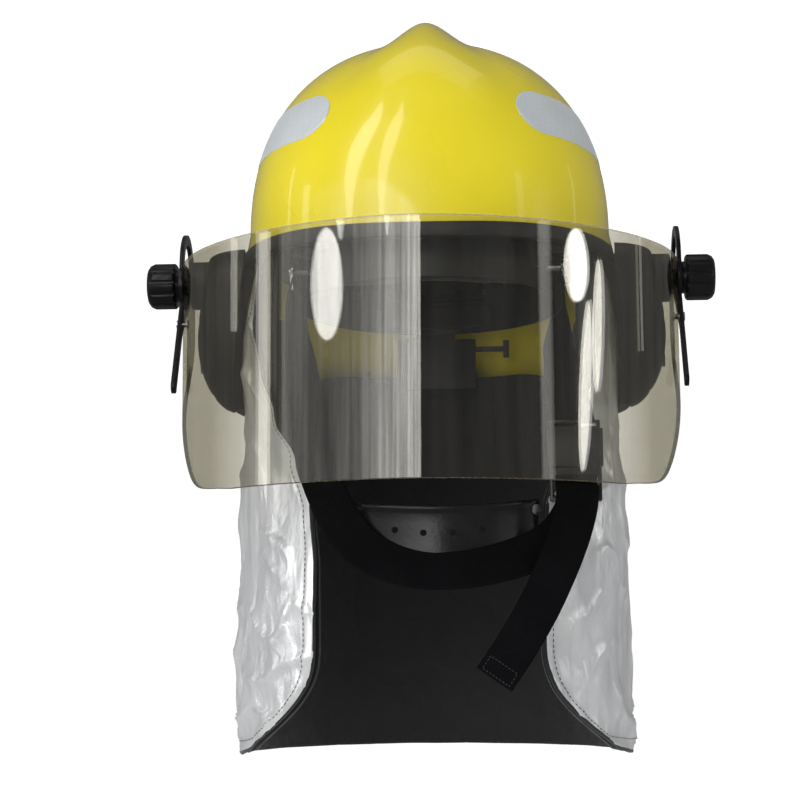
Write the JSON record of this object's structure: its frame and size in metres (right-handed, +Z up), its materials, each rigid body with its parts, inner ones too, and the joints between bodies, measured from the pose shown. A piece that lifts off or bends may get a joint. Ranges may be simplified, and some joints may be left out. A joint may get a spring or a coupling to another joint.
{
  "type": "firefighter helmet",
  "caption": "Firefighter helmet with a combed shell, tilting clear face visor, black side covers, aluminised neck curtain and a chin strap with moulded cup and side-release buckle.",
  "frame": {"origin": "middle of the head opening, on the axis that the visor tilts about; a head holds the helmet there", "axes": "+Z up, -Y to the front of the helmet, +X towards the wearer's left, along the visor's tilt axis"},
  "size_m": [0.3528, 0.3118, 0.454],
  "materials": {
    "shell_yellow": "glossy moulded shell, lemon yellow",
    "trim_rubber": "matt black edge trim",
    "reflective_film": "grey retro-reflective film",
    "liner_foam": "dark rigid foam",
    "cover_black": "satin black moulding",
    "steel": "plain steel",
    "nylon": "natural nylon",
    "visor_clear": "clear polycarbonate with a faint warm tint",
    "pivot_black": "semi-gloss black moulding",
    "harness_black": "satin black moulding",
    "pad_fabric": "black knitted cloth over foam",
    "webbing": "black woven webbing",
    "lining_black": "black woven lining",
    "aluminised_cloth": "aluminised cloth, creased",
    "cup_black": "black moulded chin cup",
    "buckle_black": "semi-gloss black moulding"
  },
  "bodies": {
    "shell": {"outer_shell": "shell_yellow", "rim_trim": "trim_rubber", "reflective_patch_left": "reflective_film", "reflective_patch_right": "reflective_film", "impact_liner": "liner_foam", "side_cover_left": "cover_black", "side_cover_right": "cover_black", "cover_screws": "steel", "pivot_hub_left": "cover_black", "pivot_hub_right": "cover_black", "pivot_stud_left": "steel", "pivot_stud_right": "steel", "friction_washer_left": "nylon", "friction_washer_right": "nylon", "headband": "harness_black", "brow_pad": "pad_fabric", "crown_straps": "webbing", "crown_pad": "pad_fabric", "harness_lugs": "harness_black", "adjuster_housing": "harness_black", "nape_pad": "pad_fabric", "cheek_pad_left": "pad_fabric", "cheek_pad_right": "pad_fabric", "curtain_tape": "lining_black", "neck_curtain": "aluminised_cloth", "curtain_lining": "lining_black", "strap_rivets": "steel"},
    "visor_frame": {"visor": "visor_clear", "visor_arm_left": "pivot_black", "visor_arm_right": "pivot_black", "arm_rivets": "steel", "spring_washer_left": "steel", "spring_washer_right": "steel"},
    "left_knob": {"knob_left": "pivot_black"},
    "right_knob": {"knob_right": "pivot_black"},
    "adjuster": {"adjuster_pinion": "nylon", "adjuster_knob": "harness_black"},
    "left_tail": {"band_tail_left": "harness_black"},
    "right_tail": {"band_tail_right": "harness_black"},
    "chin_harness": {"strap_anchor_left": "steel", "strap_anchor_right": "steel", "chin_strap": "webbing", "short_strap": "webbing", "chin_cup": "cup_black", "cup_studs": "steel", "buckle_socket": "buckle_black"},
    "buckle_male": {"buckle_plug": "buckle_black", "strap_tail": "webbing"},
    "left_prong": {"prong_left": "buckle_black"},
    "right_prong": {"prong_right": "buckle_black"}
  },
  "joints": [
    {"name": "visor_tilt", "type": "hinge", "parent": "shell", "child": "visor_frame", "pos_m": [0, 0, 0], "axis": [-1, 0, 0], "range_deg": [0, 46]},
    {"name": "left_knob_turn", "type": "hinge", "parent": "shell", "child": "left_knob", "pos_m": [-0.165, 0, 0], "axis": [-1, 0, 0], "range_deg": [0, 360]},
    {"name": "right_knob_turn", "type": "hinge", "parent": "shell", "child": "right_knob", "pos_m": [0.165, 0, 0], "axis": [1, 0, 0], "range_deg": [0, 360]},
    {"name": "adjuster_turn", "type": "hinge", "parent": "shell", "child": "adjuster", "pos_m": [0, 0.127, -0.034], "axis": [0, -1, 0], "range_deg": [0, 60]},
    {"name": "left_tail_slide", "type": "slide", "parent": "shell", "child": "left_tail", "axis": [1, 0, 0], "range_m": [-0.001, 0.009]},
    {"name": "right_tail_slide", "type": "slide", "parent": "shell", "child": "right_tail", "axis": [-1, 0, 0], "range_m": [-0.001, 0.009]},
    {"name": "chin_strap_swing", "type": "hinge", "parent": "shell", "child": "chin_harness", "pos_m": [0, -0.038, 0], "axis": [-1, 0, 0], "range_deg": [0, 12]},
    {"name": "buckle_release", "type": "slide", "parent": "chin_harness", "child": "buckle_male", "axis": [0, 0, -1], "range_m": [0, 0.022]},
    {"name": "left_prong_press", "type": "hinge", "parent": "buckle_male", "child": "left_prong", "pos_m": [0.0768, -0.06, -0.1259], "axis": [0, 1, 0], "range_deg": [0, 8], "stiffness_Nm_per_rad": 0.3},
    {"name": "right_prong_press", "type": "hinge", "parent": "buckle_male", "child": "right_prong", "pos_m": [0.0952, -0.06, -0.1259], "axis": [0, -1, 0], "range_deg": [0, 8], "stiffness_Nm_per_rad": 0.3}
  ],
  "couplings": [
    {"joint": "left_tail_slide", "follows": "adjuster_turn", "m_per_rad": 0.0075},
    {"joint": "right_tail_slide", "follows": "adjuster_turn", "m_per_rad": 0.0075}
  ]
}
